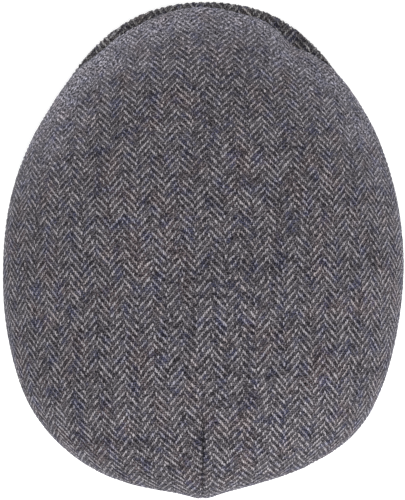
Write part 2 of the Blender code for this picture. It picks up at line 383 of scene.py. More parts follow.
# How the weave lies on the crown. Its warp runs front to back. s goes to the wearer's
# right and t to the back, both in metres of cloth, and the dart takes a wedge out.
weave = {
    "endSpacing": 0.00098,
    "pickSpacing": 0.00108,
    "columnEnds": 8,          # ends in one herringbone column
    "firstEnd": 3.5,          # the end on the middle line
    "stripeShift": 0.0022,
    "grainTurn": 1.5,         # degrees
    "dartY": 0.0856,          # where the dart starts
    "dartLeft": 0.0120,       # cloth taken out at the edge, on the wearer's left
    "dartRight": 0.0050,
    "dartPower": 1.2,
    "dartDecay": 0.115,
    "relief": 0.00024,        # height of the ridges
    "endVaries": 0.4,         # how unevenly the ends and the crossings stand
    "crossingVaries": 0.30,
}

# The tables of s and t over the plan, and the search through them
clothTable = {
    "step": 0.001,
    "x": (-0.165, 0.1651),
    "y": (-0.215, 0.1951),
    "domeEdge": 0.92,         # share of the reach as far as the dome's slope counts
    "insideRing": 0.93,       # share of the ring where the threads' heading is taken from
    "headingPasses": 6,       # smoothing of that heading, then of the tables
    "headingSpread": 4,
    "tablePasses": 3,
    "searchSteps": 14,
    "leastSlope": 0.05,
    "longestStep": 0.02,
}


def makeClothTables():
    step = clothTable["step"]
    xs, ys = np.arange(*clothTable["x"], step), np.arange(*clothTable["y"], step)
    gx, gy = np.meshgrid(xs, ys, indexing="ij")
    bearing = bearingOf(gx, gy)
    size = np.hypot(gx, gy - crestY)
    reach = foldReach(bearing)
    share = np.clip(size / reach, 0.0, clothTable["domeEdge"])
    fold = around("fold", bearing) * cap["height"]
    down = np.arcsin(share ** (around("plan", bearing) / 2))
    z = fold + (cap["height"] - fold) * np.cos(down) ** (2.0 / around("rise", bearing))

    def lengthAlong(axis, middle):
        slope = np.diff(z, axis=axis) / step
        total = summed(np.sqrt(1.0 + slope * slope) * step, axis)
        return total - total.take([middle], axis=axis)

    def lookUp(table, x, y):
        return between(table, np.clip((x - xs[0]) / step, 0, len(xs) - 1.001), (y - ys[0]) / step)

    across = -lengthAlong(0, int(np.argmin(np.abs(xs))))
    back = lengthAlong(1, int(np.argmin(np.abs(ys - crestY))))
    # past the ring the threads go straight on
    dx, dy, _ = planRay(arcBearings)
    ringSize, inside = arcs["ring"] * foldReach(arcBearings), clothTable["insideRing"]
    ringX, ringY = dx * ringSize, crestY + dy * ringSize
    inX, inY = dx * ringSize * inside, crestY + dy * ringSize * inside
    ringS, ringT = lookUp(across, ringX, ringY), lookUp(back, ringX, ringY)
    goS, goT = ringS - lookUp(across, inX, inY), ringT - lookUp(back, inX, inY)
    spread = clothTable["headingSpread"]
    for _ in range(clothTable["headingPasses"]):
        goS, goT = ((np.roll(go, spread) + go + np.roll(go, -spread)) / 3 for go in (goS, goT))
    goSize = np.hypot(goS, goT)
    past = size - arcs["ring"] * reach
    pastS = sampleRound(ringS, bearing) + sampleRound(goS / goSize, bearing) * past
    pastT = sampleRound(ringT, bearing) + sampleRound(goT / goSize, bearing) * past
    across, back = np.where(past > 0, pastS, across), np.where(past > 0, pastT, back)
    for _ in range(clothTable["tablePasses"]):
        for table in (across, back):
            table[1:-1, 1:-1] = (table[1:-1, 1:-1] * 4 + table[:-2, 1:-1] + table[2:, 1:-1]
                                 + table[1:-1, :-2] + table[1:-1, 2:]) / 8
    turn = np.radians(weave["grainTurn"])
    dartT = lookUp(back, 0.0, weave["dartY"])
    endT = sampleRound(ringT, 180.0) + sampleRound(arcTopEnd, 180.0)
    s = across * np.cos(turn) - (back - dartT) * np.sin(turn)
    t = back * np.cos(turn) + across * np.sin(turn)
    wedge = np.clip((back - dartT) / (endT - dartT), 0.0, None) ** weave["dartPower"]
    wedge = wedge * bell(across, weave["dartDecay"])
    return {
        "xs": xs, "ys": ys, "lookUp": lookUp, "t": t,
        "left": s - weave["dartLeft"] * wedge, "right": s + weave["dartRight"] * wedge,
    }


clothTables = makeClothTables()
report("cloth tables ready")


def threadsToPlan(u, v):
    # place on the unrolled plan for end u and pick v, by Newton steps
    s = (u - weave["firstEnd"]) * weave["endSpacing"] + weave["stripeShift"]
    t = v * weave["pickSpacing"]
    names = ("xs", "ys", "lookUp", "left", "right", "t")
    xs, ys, lookUp, left, right, back = (clothTables[name] for name in names)
    leftSlopes, rightSlopes, backSlopes = (
        np.gradient(table, clothTable["step"]) for table in (left, right, back))
    isLeft = s < 0

    def ownSide(ofLeft, ofRight, x, y):
        return np.where(isLeft, lookUp(ofLeft, x, y), lookUp(ofRight, x, y))

    x, y = -s, crestY + t
    for _ in range(clothTable["searchSteps"]):
        missS, missT = s - ownSide(left, right, x, y), t - lookUp(back, x, y)
        sx, sy = (ownSide(*pair, x, y) for pair in zip(leftSlopes, rightSlopes))
        tx, ty = (lookUp(slope, x, y) for slope in backSlopes)
        det = sx * ty - sy * tx
        det = np.where(np.abs(det) < clothTable["leastSlope"], -clothTable["leastSlope"], det)
        stepX = (missS * ty - missT * sy) / det
        stepY = (missT * sx - missS * tx) / det
        stepSize = np.maximum(np.hypot(stepX, stepY), 1e-9)
        reachable = np.clip(clothTable["longestStep"] / stepSize, 0, 1)
        x = np.clip(x + stepX * reachable, xs[0], xs[-1])
        y = np.clip(y + stepY * reachable, ys[0], ys[-1])
    return x, y, np.hypot(missS, missT), isLeft


def planToThreads(x, y):
    lookUp = clothTables["lookUp"]
    s = np.where(x > 0, lookUp(clothTables["left"], x, y), lookUp(clothTables["right"], x, y))
    t = lookUp(clothTables["t"], x, y)
    return (s - weave["stripeShift"]) / weave["endSpacing"] + weave["firstEnd"], t / weave["pickSpacing"]


def waleHeight(u, v):
    # height of the herringbone's ridges, -1 to 1, at any place in threads
    end = np.floor(u + 0.5)
    column = np.floor(end / weave["columnEnds"])
    inColumn = end - column * weave["columnEnds"]
    phase = np.where(np.mod(column, 2) > 0.5, 1.0 - inColumn, inColumn)
    return np.cos(2 * np.pi * (v + phase - 0.5) / 4)


def hashed(a, b, seed):
    value = np.sin(a * 127.1 + b * 311.7 + seed * 74.7) * 43758.5453
    return value - np.floor(value)


def unevenWales(u, v, firstEnd, seed):
    each = 1.0 - weave["endVaries"] / 2 + weave["endVaries"] * hashed(u, 0, 3)
    return waleHeight(u + firstEnd, v) * each + weave["crossingVaries"] * (hashed(u, v, seed) - 0.5)


def lumps(x, y, size, seed, waves=14):
    # soft uneven waves over the cloth, about -1 to 1
    rng = np.random.default_rng(seed)
    total = np.zeros_like(x)
    for _ in range(waves):
        angle, phase = rng.uniform(0, 2 * np.pi, 2)
        wave = size * rng.uniform(0.7, 1.6)
        total += np.sin(2 * np.pi * (x * np.cos(angle) + y * np.sin(angle)) / wave + phase)
    return total / np.sqrt(waves)


def threadGrid(ends, picks, step=1.0):
    return np.meshgrid(np.arange(*ends, step), np.arange(*picks, step), indexing="ij")


def cellsOf(inside):
    # the cells with a corner inside, and the nodes that they use
    keep = inside[:-1, :-1] | inside[1:, :-1] | inside[1:, 1:] | inside[:-1, 1:]
    used = np.zeros_like(inside)
    low, high = slice(None, -1), slice(1, None)
    for part in ((low, low), (high, low), (high, high), (low, high)):
        used[part] |= keep
    return keep, used


def picked(keep, used, *grids):
    # the quads of the kept cells, and each grid's values at the nodes that they use
    number = (np.cumsum(used) - 1).reshape(used.shape)
    corners = number[:-1, :-1], number[1:, :-1], number[1:, 1:], number[:-1, 1:]
    return [np.stack([corner[keep] for corner in corners], axis=1)] + [grid[used] for grid in grids]


def boundaryLoop(quads):
    # vertices along the outer border of a sheet of quads, in order
    edges = np.concatenate([quads[:, [0, 1]], quads[:, [1, 2]], quads[:, [2, 3]], quads[:, [3, 0]]])
    keys = np.sort(edges, axis=1).astype(np.int64)
    _, first, count = np.unique(keys @ (quads.max() + 1, 1), return_index=True, return_counts=True)
    follow = {}
    for a, b in edges[first[count == 1]]:
        follow.setdefault(int(a), []).append(int(b))
    loops = []
    while follow:
        start = next(iter(follow))
        loop, here = [start], start
        while here in follow:
            nexts = follow[here]
            after = nexts.pop()
            if not nexts:
                del follow[here]
            here = after
            if here == start:
                break
            loop.append(here)
        loops.append(loop)
    return np.array(max(loops, key=len))


def addObject(name, data):
    thing = bpy.data.objects.new(name, data)
    bpy.context.scene.collection.objects.link(thing)
    return thing


def newPiece(name, places, faces, threads, marks={}):
    # faces is a list of arrays, each with 3 or 4 columns; threads is the UV of each vertex
    mesh = bpy.data.meshes.new(name)
    corners = np.concatenate([f.ravel() for f in faces]).astype(np.int32)
    sizes = np.concatenate([np.full(len(f), f.shape[1]) for f in faces]).astype(np.int32)
    mesh.vertices.add(len(places))
    mesh.vertices.foreach_set("co", np.ascontiguousarray(places, dtype=np.float32).ravel())
    mesh.loops.add(len(corners))
    mesh.loops.foreach_set("vertex_index", corners)
    mesh.polygons.add(len(sizes))
    mesh.polygons.foreach_set("loop_start", np.cumsum(sizes, dtype=np.int32) - sizes)
    mesh.polygons.foreach_set("loop_total", sizes)
    layer = mesh.uv_layers.new(name="threads")
    layer.data.foreach_set("uv", threads[corners].astype(np.float32).ravel())
    for mark in ("wearAndSheenMask", "creaseShade"):
        values = np.zeros(len(places), np.float32)
        if mark in marks:
            values[:len(marks[mark])] = marks[mark]
        mesh.attributes.new(mark, "FLOAT", "POINT").data.foreach_set("value", values)
    mesh.update(calc_edges=True)
    mesh.validate()
    mesh.shade_smooth()
    report("%s %d faces" % (name, len(mesh.polygons)))
    return addObject(name, mesh)


# The turned edges along the seams
hem = {
    "dip": 0.0011,            # how deep the cloth sinks at the seam
    "dipPower": 1.3,
    "puff": 0.0004,           # and how it swells beside it
    "puffAt": 0.0032,
    "puffSpread": 0.0016,
    "paintedShade": 0.85,             # painted shade in the seam's groove
    "shadeWidth": 0.0008,
}


def hemmed(rise, toEdge, roll):
    rise = rise - hem["dip"] * (1.0 - smoothStep(0.0, roll, toEdge)) ** hem["dipPower"]
    return rise + hem["puff"] * bell(toEdge, hem["puffSpread"], hem["puffAt"])


# painted shade along a seam's turned edge, darkest right at the edge
def hemShade(toEdge):
    return hem["paintedShade"] * (1.0 - smoothStep(0.0, hem["shadeWidth"], toEdge))


crown = {
    "ends": (-150, 151),      # the threads tried, from side to side
    "picks": (-200, 131),     # and from front to back
    "largestMiss": 0.0005,
    "normalStep": 0.0006,
    "hemRoll": 0.0016,        # width of the turned edge at a seam
    "waleFade": (0.0005, 0.004),
    "lumpHeight": 0.00028,
    "lumpSize": 0.060,
    "lumpFade": 0.02,
    "dartDip": 0.0019,        # the sewn dart: how deep, how wide
    "dartHalf": 0.0009,
    "dartLead": 0.004,        # how far it comes before its cut, and grows past it
    "dartRun": 0.008,
    "dartSmooth": 0.0012,
    "dartShallow": 0.75,      # how much shallower towards the edge, and between which shares
    "dartShallowAt": (0.80, 0.97),
    # painted shade along the dart's groove
    "dartShade": 0.65,
    "dartShadeHalf": 0.00045,
    "foldSheenFrom": 0.53,      # where the band along the front fold, rubbed wool with painted sheen, starts and is full
    "foldSheenFull": 0.95,
    "foldSheenTurn": (40.0, 66.0),
    "rimSheen": 0.34,       # painted sheen, with a rubbed look, on the rest of the widest line
    "rimSheenAt": (0.80, 0.98),
    "shoulderHighlight": 0.60,          # painted highlight on the left front shoulder, where light falls from the front left
    "shoulderHighlightAt": 29.0,
    "shoulderHighlightSpread": 11.0,
    "shoulderHighlightDown": (0.66, 0.90),
    "patchySize": 0.022,      # the wear and the painted sheen are patchy
    "patchy": (0.85, 0.35, 1.2),
    "innerRows": 15,          # rows of faces on the inside, and how they crowd to the crest
    "innerSpread": 0.9,
    "edgeTilt": 0.0004,
    "leastFace": 1e-11,
}


def crownNormal(x, y):
    h = crown["normalStep"]
    nearby = ((h, 0), (-h, 0), (0, h), (0, -h))
    east, west, north, south = (outerPoint(*rolledUp(x + dx, y + dy)[:2]) for dx, dy in nearby)
    return unitOf(np.cross(east - west, north - south))


def crownRelief(x, y, u, v, down, toEdge):
    # gentle lumps, wale ridges, turned edges and the sewn dart, with painted shade in the grooves of the
    # seams and the dart
    start = weave["dartY"] - crown["dartLead"]
    seamward = np.where(y > start, np.abs(x), 1.0)
    sewn = smoothStep(start, weave["dartY"] + crown["dartRun"], y)
    flat = 1.0 - sewn * (1.0 - smoothStep(0.0, crown["dartSmooth"], seamward))
    rise = crown["lumpHeight"] * lumps(x, y, crown["lumpSize"], 5)
    rise = rise * smoothStep(0.0, crown["lumpFade"], toEdge)
    ridge = weave["relief"] * unevenWales(u, v, 0, 7)
    rise = rise + ridge * smoothStep(*crown["waleFade"], toEdge) * flat
    rise = hemmed(rise, toEdge, crown["hemRoll"])
    shallow = 1.0 - crown["dartShallow"] * smoothStep(*crown["dartShallowAt"], down)
    rise = rise - crown["dartDip"] * sewn * (bell(seamward, crown["dartHalf"]) * shallow)
    # painted shade in the dart's groove, and along the seams
    paintedShade = crown["dartShade"] * sewn * bell(seamward, crown["dartShadeHalf"])
    return rise, np.clip(paintedShade + hemShade(toEdge), 0.0, 1.0)


# a mask of rubbed wool with painted sheen over it: along the front fold, round the widest line and on
# the left front shoulder
def crownWearAndSheen(x, y, bearing, down):
    wearAndSheen = smoothStep(crown["foldSheenFrom"], crown["foldSheenFull"], down)
    wearAndSheen = wearAndSheen * (1.0 - smoothStep(*crown["foldSheenTurn"], turnedFromFront(bearing)))
    wearAndSheen = np.maximum(wearAndSheen, crown["rimSheen"] * smoothStep(*crown["rimSheenAt"], down))
    # painted highlight on the left front shoulder, where light falls from the front left
    shoulder = bell(signedBearing(bearing), crown["shoulderHighlightSpread"], crown["shoulderHighlightAt"])
    wearAndSheen = wearAndSheen + crown["shoulderHighlight"] * shoulder * smoothStep(*crown["shoulderHighlightDown"], down)
    middle, varies, most = crown["patchy"]
    return wearAndSheen * np.clip(middle + varies * lumps(x, y, crown["patchySize"], 23), 0.0, most)


def crownInside(rim, rimPlaces, bearing, base):
    # rows of nodes from the edge up the inside to the crest; the first one is number base
    end, rows, count = topEnd(bearing), crown["innerRows"], len(rim)
    places, threads = [], []
    for share in np.linspace(1.0, 0.0, rows + 1)[:-1] ** crown["innerSpread"]:
        down = end * share
        row = outerPoint(bearing, down) - outwardAt(bearing, down) * cap["cloth"]
        if share == 1.0:
            row[:, 2] = np.minimum(row[:, 2], rimPlaces[:, 2] + crown["edgeTilt"])
        places.append(row)
        threads.append(np.stack(planToThreads(*unrolled(bearing, down)), axis=1))
    places.append(outerPoint([0.0], [0.0]) - (0, 0, cap["cloth"]))
    threads.append(np.stack(planToThreads(np.array([0.0]), np.array([crestY])), axis=1))
    ring = np.arange(count)
    after = (ring + 1) % count
    faces = [np.stack([rim[after], rim, base + ring, base + after], axis=1)]
    for low in base + count * np.arange(rows - 1):
        high = low + count
        faces.append(np.stack([low + after, low + ring, high + ring, high + after], axis=1))
    last = base + (rows - 1) * count
    faces.append(np.stack([last + after, last + ring, np.full(count, last + count)], axis=1))
    return places, threads, faces


def makeCrown():
    u, v = threadGrid(crown["ends"], crown["picks"])
    x, y, miss, isLeft = threadsToPlan(u, v)
    inEdge = (rolledUp(x, y)[2] > 0) & (miss < crown["largestMiss"])
    wrongSide = (y > weave["dartY"]) & (np.where(isLeft, x, -x) <= 0)
    keep, used = cellsOf(inEdge & ~wrongSide)
    # nodes past an edge move onto it
    x = np.where(used & wrongSide, 0.0, x)
    toEdge = rolledUp(x, y)[2]
    size = np.hypot(x, y - crestY)
    back = np.where(used & (toEdge < 0), (size + toEdge) / np.maximum(size, 1e-9), 1.0)
    x, y = x * back, crestY + (y - crestY) * back
    quads, x, y, u, v, onEdge = picked(keep, used, x, y, u, v, used & ~inEdge)
    bearing, down, toEdge = rolledUp(x, y)
    rise, creaseShade = crownRelief(x, y, u, v, down, np.maximum(toEdge, 0.0))
    places = outerPoint(bearing, down) + crownNormal(x, y) * rise[:, None]
    # faces that shrank to nothing on an edge are left out
    a, b, c, d = (places[quads[:, k]] for k in range(4))
    area = np.linalg.norm(np.cross(c - a, d - b), axis=1) / 2
    rim = boundaryLoop(quads)
    rim = rim[onEdge[rim]]
    inner, innerThreads, innerFaces = crownInside(rim, places[rim], bearing[rim], len(places))
    return newPiece(
        "crown_cloth", np.concatenate([places] + inner), [quads[area > crown["leastFace"]]] + innerFaces,
        np.concatenate([np.stack([u, v], axis=1)] + innerThreads),
        {"wearAndSheenMask": crownWearAndSheen(x, y, bearing, down), "creaseShade": creaseShade},
    )


sidePanel = {
    "ends": (-175, 176),
    "picks": (-70, 90),
    "coneRadius": 0.207,      # of the rim, in the flat cut
    "middleBearing": 105.0,
    "bearingStep": 0.25,
    "hemRoll": 0.0018,
    "footShade": 0.0004,       # how much of the seam's painted shade the rim loses
    "waleFade": 0.004,
    "lumpHeight": 0.0005,
    "lumpSize": 0.045,
    "lumpStretch": 1.5,
    "lumpFade": 0.012,
}


def makeSidePanel(name, side):
    # arc length along the rim from the middle of the panel, towards the front
    bearings = np.arange(180.0, cap["sideTip"] - 0.01, -sidePanel["bearingStep"])
    foot = outerPoint(side * bearings, 2.0)
    run = summed(np.linalg.norm(np.diff(foot, axis=0), axis=1))
    run = run - np.interp(180.0 - sidePanel["middleBearing"], 180.0 - bearings, run)
    radius = sidePanel["coneRadius"]
    u, v = threadGrid(sidePanel["ends"], sidePanel["picks"])
    flatX, flatY = u * weave["endSpacing"], v * weave["pickSpacing"]
    along = radius * np.arctan2(flatX, flatY + radius)
    up = np.hypot(flatX, flatY + radius) - radius

    def toPanel(along, up):
        bearing = side * np.interp(along, run, bearings)
        height = sampleRound(arcTotal, bearing) - sampleRound(arcSideStart, bearing)
        toEnd = np.minimum(along - run[0], run[-1] - along)
        return bearing, height, np.minimum(np.minimum(up, height - up), toEnd)

    keep, used = cellsOf(toPanel(along, up)[2] > 0)
    quads, along, up, u, v = picked(keep, used, along, up, u, v)
    along = np.clip(along, run[0], run[-1])
    bearing, height, _ = toPanel(along, up)
    up = np.clip(up, 0.0, height)
    toEdge = toPanel(along, up)[2]
    down = sampleRound(arcDownAt, bearing, sampleRound(arcTotal, bearing) - up)
    down = np.where(up <= 0.0, 2.0, np.minimum(down, 2.0))
    places, normal = outerPoint(bearing, down), outwardAt(bearing, down)
    soft = lumps(along * side, up * sidePanel["lumpStretch"], sidePanel["lumpSize"], 11 + side)
    rise = sidePanel["lumpHeight"] * soft * smoothStep(0.0, sidePanel["lumpFade"], toEdge)
    ridge = unevenWales(u, v, weave["firstEnd"], 9)
    rise = rise + weave["relief"] * ridge * smoothStep(0.0, sidePanel["waleFade"], toEdge)
    outer = places + normal * hemmed(rise, toEdge, sidePanel["hemRoll"])[:, None]
    inner = places - normal * cap["cloth"]
    inner[:, 2] = np.where(up <= 1e-6, places[:, 2], inner[:, 2])
    count = len(outer)
    loop = boundaryLoop(quads)
    after = np.roll(loop, -1)
    faces = [quads, np.stack([after, loop, loop + count, after + count], axis=1), quads[:, ::-1] + count]
    if side > 0:
        faces = [face[:, ::-1] for face in faces]
    threads = np.stack([u + weave["firstEnd"], v], axis=1)
    # painted shade along the seams, less of it at the rim
    creaseShade = hemShade(np.where(up < height / 2, up + sidePanel["footShade"], toEdge))
    places, threads = np.concatenate([outer, inner]), np.concatenate([threads, threads])
    return newPiece(name, places, faces, threads, {"creaseShade": creaseShade})


peakCloth = {
    "ends": (-100, 100.01),
    "picks": (-182, -60),
    "stepShare": 0.5,         # of a thread, between nodes
    "relief": 0.00042,
    "endVaries": 0.3,
    "endRound": 1.3,          # degrees over which its corners close
    "seamTurn": -50.0,        # degrees round the edge where the two cloths meet
    "seamDip": 0.0004,
    "seamWidth": 0.0012,
    "normalTurn": 0.15,       # degrees
    "normalStep": 0.0003,
}


def peakSection(bearing, along, top):
    # place on the peak; along is the plan distance from the crest, going on round the edges by arc
    half = peakSize["thickness"] / 2
    closing = (peakSize["end"] - turnedFromFront(bearing)) / peakCloth["endRound"]
    closing = np.sqrt(np.clip(1.0 - (1.0 - np.clip(closing, 0.0, 1.0)) ** 2, 0.0, 1.0))
    low, high = rimReach(bearing) + half, peakReach(bearing) - half
    turnFront = np.clip((along - high) / half, 0.0, np.pi)
    turnBack = np.clip((low - along) / half, 0.0, np.pi)
    reach = np.clip(along, low, high) + half * np.sin(turnFront) - half * np.sin(turnBack)
    level = np.cos(turnFront) * np.cos(turnBack) * (1.0 if top else -1.0)
    place = onRay(bearing, reach, 0.0)
    place[..., 2] = peakUnderside(place[..., 0], place[..., 1]) + half * (1.0 + level * closing)
    return place


def makePeakCloth(name, top):
    half, end, width = peakSize["thickness"] / 2, peakSize["end"], peakCloth["seamWidth"]
    seamTurn = np.radians(90.0 - peakCloth["seamTurn"] if top else 90.0 + peakCloth["seamTurn"])
    u, v = threadGrid(peakCloth["ends"], peakCloth["picks"], peakCloth["stepShare"])
    x, y = -u * weave["endSpacing"], crestY + v * weave["pickSpacing"]
    bearing, along = bearingOf(x, y), np.hypot(x, y - crestY)

    def edges(bearing, along):
        low = rimReach(bearing) + half - half * (np.pi / 2)
        high = peakReach(bearing) - half + half * seamTurn
        toEnd = (end - turnedFromFront(bearing)) * np.pi / 180 * along
        return low, high, np.minimum(np.minimum(along - low, high - along), toEnd)

    keep, used = cellsOf(edges(bearing, along)[2] > 0)
    quads, u, v, bearing, along = picked(keep, used, u, v, bearing, along)
    bearing = np.clip(signedBearing(bearing), -end, end)
    low, high, _ = edges(bearing, along)
    along = np.clip(along, low, high)
    toEdge = edges(bearing, along)[2]
    turn, step = peakCloth["normalTurn"], peakCloth["normalStep"]
    outward = peakSection(bearing, along + step, top) - peakSection(bearing, along - step, top)
    left = peakSection(np.minimum(bearing + turn, end), along, top)
    sideways = left - peakSection(np.maximum(bearing - turn, -end), along, top)
    normal = unitOf(np.cross(outward, sideways)) * (1.0 if top else -1.0)
    each = 1.0 - peakCloth["endVaries"] / 2 + peakCloth["endVaries"] * hashed(np.floor(u + 0.5), 0, 3)
    ridge = waleHeight(u + weave["firstEnd"], v) * each
    rise = peakCloth["relief"] * ridge * smoothStep(0.0, width, toEdge)
    rise = rise - peakCloth["seamDip"] * (1.0 - smoothStep(0.0, width, high - along))
    places = peakSection(bearing, along, top) + normal * rise[:, None]
    threads = np.stack([u + weave["firstEnd"], v], axis=1)
    return newPiece(name, places, [quads if top else quads[:, ::-1]], threads)


crownCloth = makeCrown()
sideLeft = makeSidePanel("side_cloth_left", 1)
sideRight = makeSidePanel("side_cloth_right", -1)
peakTop = makePeakCloth("peak_cloth_top", True)
peakUnder = makePeakCloth("peak_cloth_under", False)


# Shader nodes. A value may be a number, a colour or another node's output
def fill(tree, node, values):
    for key, value in values.items():
        if isinstance(value, bpy.types.NodeSocket):
            tree.links.new(value, node.inputs[key])
        else:
            node.inputs[key].default_value = value


def addNode(tree, kind, values={}, **settings):
    node = tree.nodes.new("ShaderNode" + kind)
    for name, setting in settings.items():
        setattr(node, name, setting)
    fill(tree, node, values)
    return node.outputs


def newGroup(name, inputs, outputs):
    group = bpy.data.node_groups.new(name, "ShaderNodeTree")
    for way, sockets in (("INPUT", inputs), ("OUTPUT", outputs)):
        for kind, labels in sockets.items():
            for label in labels:
                group.interface.new_socket(name=label, in_out=way, socket_type="NodeSocket" + kind)
    return group, group.nodes.new("NodeGroupInput").outputs, group.nodes.new("NodeGroupOutput")


def newMaterial(name):
    material = bpy.data.materials.new(name)
    material.use_nodes = True
    return material, material.node_tree, material.node_tree.nodes["Principled BSDF"]


def maths(tree, operation, *values):
    return addNode(tree, "Math", dict(enumerate(values)), operation=operation)[0]


def sums(tree):
    kinds = ("MULTIPLY", "ADD", "SUBTRACT", "MULTIPLY_ADD")
    return [partial(maths, tree, kind) for kind in kinds]


def joined(tree, *values):
    return addNode(tree, "CombineXYZ", dict(enumerate(values)))[0]


def apart(tree, value, kind):
    return addNode(tree, "Separate" + kind, {0: value})


def moved(tree, vector, by):
    return addNode(tree, "VectorMath", {0: vector, 1: by}, operation="ADD")[0]


def mixed(tree, factor, a, b, blend="MIX"):
    return addNode(tree, "Mix", {0: factor, 6: a, 7: b}, data_type="RGBA", blend_type=blend)[2]


def mixedValue(tree, factor, a, b):
    return addNode(tree, "Mix", {0: factor, 2: a, 3: b})[0]


def dimmed(tree, factor, color, level):
    return mixed(tree, factor, color, joined(tree, level, level, level), "MULTIPLY")


# both noises put out a grey and a colour
def whiteNoise(tree, vector):
    return addNode(tree, "TexWhiteNoise", {"Vector": vector})


def softNoise(tree, vector, scale, detail=2.0, roughness=0.5):
    grain = {"Scale": scale, "Detail": detail, "Roughness": roughness}
    return addNode(tree, "TexNoise", {"Vector": vector, **grain})


def remapped(tree, value, low, high, newLow=0.0, newHigh=1.0):
    limits = {"From Min": low, "From Max": high, "To Min": newLow, "To Max": newHigh}
    return addNode(tree, "MapRange", {"Value": value, **limits})["Result"]


usualNoise = (0.3, 0.7)       # where most of a soft noise lies

# A float is the stretch of a yarn that lies on top. Noises: scale to a thread, detail, roughness
floatShape = {
    "bends": (0.30, 2.0, 0.6),
    "shakes": (0.85, 1.0, 0.5),
    "lean": 0.20,
    "narrow": 2.3,
    "widest": 1.15,
    "edgeDrop": 0.75,
    "tipPower": 2.0,
    "tipDrop": 0.95,
    "weftFrom": 517.0,        # keeps the weft's numbers and noises apart from the warp's
    "yarnApart": 7.3,
}


def makeHerringboneGroup():
    t, ins, leave = newGroup(
        "herringbone threads",
        {"Vector": ["Threads"], "Float": ["Column Ends", "Waviness", "Jitter"]},
        {"Float": ["Warp On Top", "Height"], "Vector": ["Float Id", "Along Yarn"]},
    )
    times, plus, minus, timesPlus = sums(t)
    threads = apart(t, ins["Threads"], "XYZ")
    noises = (softNoise(t, ins["Threads"], *floatShape[name])[1] for name in ("bends", "shakes"))
    bends, shakes = (apart(t, noise, "Color") for noise in noises)
    shaken = (timesPlus(minus(shakes[k], 0.5), ins["Jitter"], threads[k]) for k in (0, 1))
    u, v = (timesPlus(minus(bends[k], 0.5), ins["Waviness"], thread) for k, thread in enumerate(shaken))
    end, pick = (maths(t, "FLOOR", plus(thread, 0.5)) for thread in (u, v))
    du, dv = minus(u, end), minus(v, pick)
    column = maths(t, "FLOOR", maths(t, "DIVIDE", end, ins["Column Ends"]))
    inColumn = minus(end, times(column, ins["Column Ends"]))
    # every other column leans the other way; a float passes over two threads of four
    odd = maths(t, "FLOORED_MODULO", column, 2.0)
    step = plus(pick, timesPlus(odd, minus(1.0, times(inColumn, 2.0)), inColumn))
    place = maths(t, "FLOORED_MODULO", step, 4.0)
    warp = maths(t, "LESS_THAN", place, 1.5)
    facing = minus(1.0, times(odd, 2.0))
    alongWarp = times(plus(plus(place, dv), 0.5), 0.5)
    alongWeft = times(plus(timesPlus(facing, du, place), -1.5), 0.5)
    along = mixedValue(t, warp, alongWeft, alongWarp)
    # the yarn's round section, which leans and thins out at its ends
    slant = times(minus(along, 0.5), facing)
    across = timesPlus(slant, floatShape["lean"], mixedValue(t, warp, dv, du))
    side = maths(t, "ABSOLUTE", times(across, floatShape["narrow"]))
    side = maths(t, "MINIMUM", side, floatShape["widest"])
    tip = maths(t, "POWER", maths(t, "ABSOLUTE", timesPlus(along, 2.0, -1.0)), floatShape["tipPower"])
    roundAcross = minus(1.0, times(times(side, side), floatShape["edgeDrop"]))
    roundAlong = minus(1.0, times(tip, floatShape["tipDrop"]))
    yarn = mixedValue(t, warp, plus(pick, floatShape["weftFrom"]), end)
    number = maths(t, "FLOOR", maths(t, "DIVIDE", step, 4.0))
    run = mixedValue(t, warp, u, v)
    fill(t, leave, {
        "Warp On Top": warp,
        "Height": times(roundAcross, roundAlong),
        "Float Id": joined(t, yarn, number, warp),
        "Along Yarn": joined(t, times(yarn, floatShape["yarnApart"]), across, run),
    })
    return t


# How much each makes the wool paler. Noises: share, scale to a thread, detail, roughness
yarnTone = {
    "float": 0.90,
    "whole": 0.12,            # the whole yarn
    "slub": (0.25, 0.45),
    "fibre": (2.80, 2.2, 2.0, 0.7),
    "patch": (0.62, 0.10),
    "base": -2.27,
    "palest": 1.12,
    "clouds": ((0.12, 3.0, 0.6), (0.07, 3.0, 0.5)),   # of the two other colours
    "fleckSpread": 0.34,
    "fleckEdges": ((0.62, 0.86), (0.64, 0.88)),
    "patchEdge": (0.50, 0.66),
}


